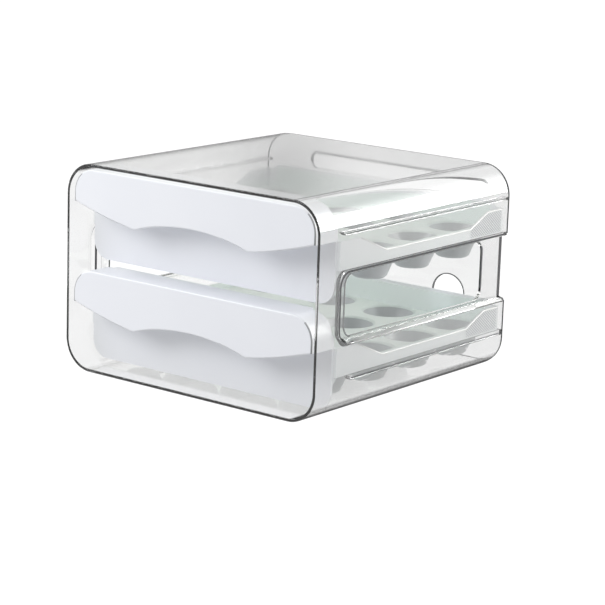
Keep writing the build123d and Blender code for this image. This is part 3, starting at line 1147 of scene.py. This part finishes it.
@dataclass
class Studio:
    """White floor, soft surrounding light, softboxes and the camera."""

    floor_radius_m: float = 24.0
    floor_points: int = 96
    floor_gap_m: float = 0.0002
    floor_colour: str = "#303030"
    floor_gloss_level: float = 0.2
    floor_roughness: tuple[float, float] = (0.65, 0.8)
    floor_grain_per_m: float = 3.0
    floor_glow: float = 1.0
    floor_soft_share: float = 0.62
    horizon_light: float = 0.85
    zenith_light: float = 0.7
    zenith_sine: float = 0.8
    right_shade: float = 0.85
    front_shade: float = 0.8
    dark_band_sine: float = 0.05
    dark_band_width: float = 0.12
    dark_band_depth: float = 0.9
    glows: tuple[SkyPatch, ...] = (
        SkyPatch((0.42, 0.8, 0.42), 3.1, 34.0),  # white highlight along the right top rounding
        SkyPatch((-0.8, -0.45, 0.4), 0.6, 5.0),  # soft light on the white fronts
        SkyPatch((-0.6, 0.75, 0.25), 0.2, 8.0),  # faint sheen on the flat top
        SkyPatch((0.0, 0.0, 1.0), 0.8, 2.0),  # light from overhead, down into the racks
    )
    # Grey cloud on the flat top.
    flag: SkyPatch = SkyPatch((-0.612, 0.772, 0.171), 0.5, 4500.0)
    lamps: tuple[Softbox, ...] = (
        Softbox("front left", (-0.5, -0.75, 0.55), (0.0, -0.1, 0.08), (0.55, 0.5), 4.5),
        Softbox("rear right", (0.6, 0.55, 0.35), (0.1, 0.05, 0.08), (0.5, 0.4), 5.0),
    )
    camera_place: tuple[float, float, float] = (1.03798, -1.31505, 0.43711)
    camera_yaw_deg: float = 37.912
    camera_pitch_deg: float = -12.971
    camera_roll_deg: float = -1.853
    lens_mm: float = 133.53
    sensor_mm: float = 36.0
    nearest_m: float = 0.05
    farthest_m: float = 60.0

    def build(self) -> None:
        """Make the floor, the light and the camera."""
        self.floor()
        self.surroundings()
        for lamp in self.lamps:
            lamp.hang()
        self.camera()

    def floor(self) -> None:
        """Lay a round white floor that glows evenly under the box.

        It glows less for diffuse light than for the eye, so that it stays white behind the box without
        filling the box's shaded undersides.
        """
        mesh = bpy.data.meshes.new("studio_floor")
        ring = [
            (self.floor_radius_m * math.cos(step), self.floor_radius_m * math.sin(step), -self.floor_gap_m)
            for step in (math.tau * i / self.floor_points for i in range(self.floor_points))
        ]
        mesh.from_pydata(ring, [], [list(range(self.floor_points))])
        material, tree = new_material("white acrylic floor, lit from below")
        place = add_node(tree, "ShaderNodeTexCoord")
        grain = add_node(
            tree, "ShaderNodeTexNoise", {},
            {"Vector": place.outputs["Object"], "Scale": self.floor_grain_per_m, "Detail": 2.0},
        )
        gloss = add_node(
            tree, "ShaderNodeMapRange", {},
            {"Value": grain.outputs["Fac"], "To Min": self.floor_roughness[0],
             "To Max": self.floor_roughness[1]},
        )
        rays = add_node(tree, "ShaderNodeLightPath")
        glow = add_node(
            tree, "ShaderNodeMapRange", {},
            {"Value": rays.outputs["Is Diffuse Ray"], "To Min": self.floor_glow,
             "To Max": self.floor_glow * self.floor_soft_share},
        )
        shader = add_node(
            tree, "ShaderNodeBsdfPrincipled", {},
            {"Base Color": linear(self.floor_colour), "Roughness": gloss.outputs["Result"],
             "Specular IOR Level": self.floor_gloss_level, "Emission Color": linear("#FFFFFF"),
             "Emission Strength": glow.outputs[0]},
        )
        add_node(tree, "ShaderNodeOutputMaterial", {}, {"Surface": shader.outputs["BSDF"]})
        mesh.materials.append(material)
        thing = bpy.data.objects.new("studio_floor", mesh)
        bpy.context.scene.collection.objects.link(thing)

    def surroundings(self) -> None:
        """Surround the box with soft light.

        It is dimmer to the right and in front, with a dark band low behind that draws the clear edges. Bright
        patches make the highlights, and a small dark flag makes the grey cloud on the flat top.
        """
        world = bpy.data.worlds.new("studio")
        bpy.context.scene.world = world
        world.use_nodes = True
        tree = world.node_tree
        tree.nodes.clear()
        place = add_node(tree, "ShaderNodeTexCoord").outputs["Generated"]
        axes = add_node(tree, "ShaderNodeSeparateXYZ", {}, {"Vector": place})
        height = add_node(
            tree, "ShaderNodeMapRange", {},
            {"Value": axes.outputs["Z"], "From Min": 0.0, "From Max": self.zenith_sine,
             "To Min": self.horizon_light, "To Max": self.zenith_light},
        )
        known: dict[str, bpy.types.NodeSocket] = {axis.name: axes.outputs[axis.name] for axis in Axis}
        known["Height Light"] = height.outputs["Result"]
        for name, operation, first, second in (
            ("Right", "MAXIMUM", "X", 0.0),
            ("Right Curve", "POWER", "Right", 2.0),
            ("Right Loss", "MULTIPLY", "Right Curve", self.right_shade),
            ("Right Share", "SUBTRACT", 1.0, "Right Loss"),
            ("Front", "MULTIPLY", "Y", -1.0),
            ("Ahead", "MAXIMUM", "Front", 0.0),
            ("Front Loss", "MULTIPLY", "Ahead", self.front_shade),
            ("Front Share", "SUBTRACT", 1.0, "Front Loss"),
            ("Above Band", "SUBTRACT", "Z", self.dark_band_sine),
            ("Off Band", "DIVIDE", "Above Band", self.dark_band_width),
            ("Off Band Squared", "MULTIPLY", "Off Band", "Off Band"),
            ("Band Fall", "MULTIPLY", "Off Band Squared", -1.0),
            ("Band", "EXPONENT", "Band Fall", 0.0),
            ("Behind", "MAXIMUM", "Y", 0.0),
            ("Band Behind", "MULTIPLY", "Band", "Behind"),
            ("Band Loss", "MULTIPLY", "Band Behind", self.dark_band_depth),
            ("Band Share", "SUBTRACT", 1.0, "Band Loss"),
            ("Side Share", "MULTIPLY", "Right Share", "Front Share"),
            ("Share", "MULTIPLY", "Side Share", "Band Share"),
            ("Light", "MULTIPLY", "Height Light", "Share"),
        ):
            step = add_node(
                tree, "ShaderNodeMath", {"operation": operation},
                {0: known.get(first, first), 1: known.get(second, second)},
            )
            known[name] = step.outputs[0]
        light = known["Light"]
        for patch in (*self.glows, self.flag):
            facing = add_node(
                tree, "ShaderNodeVectorMath", {"operation": "DOT_PRODUCT"},
                {0: place, 1: tuple(Vector(patch.toward).normalized())},
            )
            near = add_node(
                tree, "ShaderNodeMath", {"operation": "MAXIMUM"}, {0: facing.outputs["Value"], 1: 0.0}
            )
            spread = add_node(
                tree, "ShaderNodeMath", {"operation": "POWER"}, {0: near.outputs[0], 1: patch.tightness}
            )
            if patch is self.flag:
                loss = add_node(
                    tree, "ShaderNodeMath", {"operation": "MULTIPLY"},
                    {0: spread.outputs[0], 1: patch.strength},
                )
                share = add_node(
                    tree, "ShaderNodeMath", {"operation": "SUBTRACT"}, {0: 1.0, 1: loss.outputs[0]}
                )
                result = add_node(
                    tree, "ShaderNodeMath", {"operation": "MULTIPLY"}, {0: light, 1: share.outputs[0]}
                )
            else:
                result = add_node(
                    tree, "ShaderNodeMath", {"operation": "MULTIPLY_ADD"},
                    {0: spread.outputs[0], 1: patch.strength, 2: light},
                )
            light = result.outputs[0]
        back = add_node(
            tree, "ShaderNodeBackground", {}, {"Color": linear("#FFFFFF"), "Strength": light}
        )
        add_node(tree, "ShaderNodeOutputWorld", {}, {"Surface": back.outputs["Background"]})

    def camera(self) -> None:
        """Set the camera to the photograph's angle."""
        yaw, pitch, roll = (
            math.radians(a) for a in (self.camera_yaw_deg, self.camera_pitch_deg, self.camera_roll_deg)
        )
        turn = (
            Matrix.Rotation(yaw, 3, "Z") @ Matrix.Rotation(pitch, 3, "X") @ Matrix.Rotation(roll, 3, "Y")
        )
        right, forward, up = (Vector(turn.col[i]) for i in range(3))
        pose = Matrix((right, up, -forward)).transposed().to_4x4()
        pose.translation = Vector(self.camera_place)
        data = bpy.data.cameras.new("camera")
        data.lens = self.lens_mm
        data.sensor_width = self.sensor_mm
        data.sensor_fit = "HORIZONTAL"
        data.clip_start = self.nearest_m
        data.clip_end = self.farthest_m
        thing = bpy.data.objects.new("camera", data)
        thing.matrix_world = pose
        bpy.context.scene.collection.objects.link(thing)
        bpy.context.scene.camera = thing


@dataclass(frozen=True)
class LightPaths:
    """How far the render follows light, which has to pass through many clear walls."""

    through: int = 32
    mirrored: int = 8
    scattered: int = 6

    def apply(self) -> None:
        """Set the limits, and keep the colours as the materials state them."""
        scene = bpy.context.scene
        scene.view_settings.view_transform = "Standard"
        scene.cycles.max_bounces = self.through
        scene.cycles.transmission_bounces = self.through
        scene.cycles.glossy_bounces = self.mirrored
        scene.cycles.diffuse_bounces = self.scattered
        scene.cycles.transparent_max_bounces = self.through


def drawer_finishes() -> Finishes:
    """Make the materials that the two drawers share.

    Returns:
        One material for each kind of part.
    """
    return Finishes(
        white=WhiteAbs().build(),
        frosted=FrostedPolypropylene().build(),
        green=GreenPolystyrene().build(),
        # The cups carry a painted shade: a plain soft grey copy of the rack's plastic, against the mint plate.
        cups=GreenPolystyrene(
            name="green tinted polystyrene, drawn thin in the cups", colour="#DCDDDF",
            shade_colour="#CFD1D3", see_through=0.25,
        ).build(),
        # The rim is polished by the mould's parting line and catches the light; its opaque pure white adds a
        # painted highlight, so it shows as a bright white thread.
        rim=FrostedPolypropylene(
            name="frosted polypropylene, polished rim", colour="#FFFFFF", shade_colour="#FAFBFD",
            see_through=0.0, glow_through=0.0, roughness=0.2,
        ).build(),
        # The ribs break up the light, and that shade is painted on as a grey colour, so they show as fine grey
        # hatching.
        ribs=FrostedPolypropylene(
            name="frosted polypropylene, textured grip", colour="#B4B6BC", shade_colour="#A8AAB1",
            see_through=0.0, glow_through=0.0, roughness=0.5,
        ).build(),
        # The lip's rounded ends turn away from the light; their shade is painted on as a soft grey line.
        lip_painted_shade=PaintedEdgeLine("white ABS, shaded side of the lip", "#9B9DA0", "#ABADB0").build(),
    )


def main() -> None:
    """Build every sub-assembly in order."""
    logging.basicConfig(level=logging.INFO, format="%(name)s %(message)s")
    LightPaths().apply()
    Casing().build()
    finishes = drawer_finishes()
    for level in Level:
        Drawer(level, finishes).build()
    Studio().build()


if __name__ == "__main__":
    main()
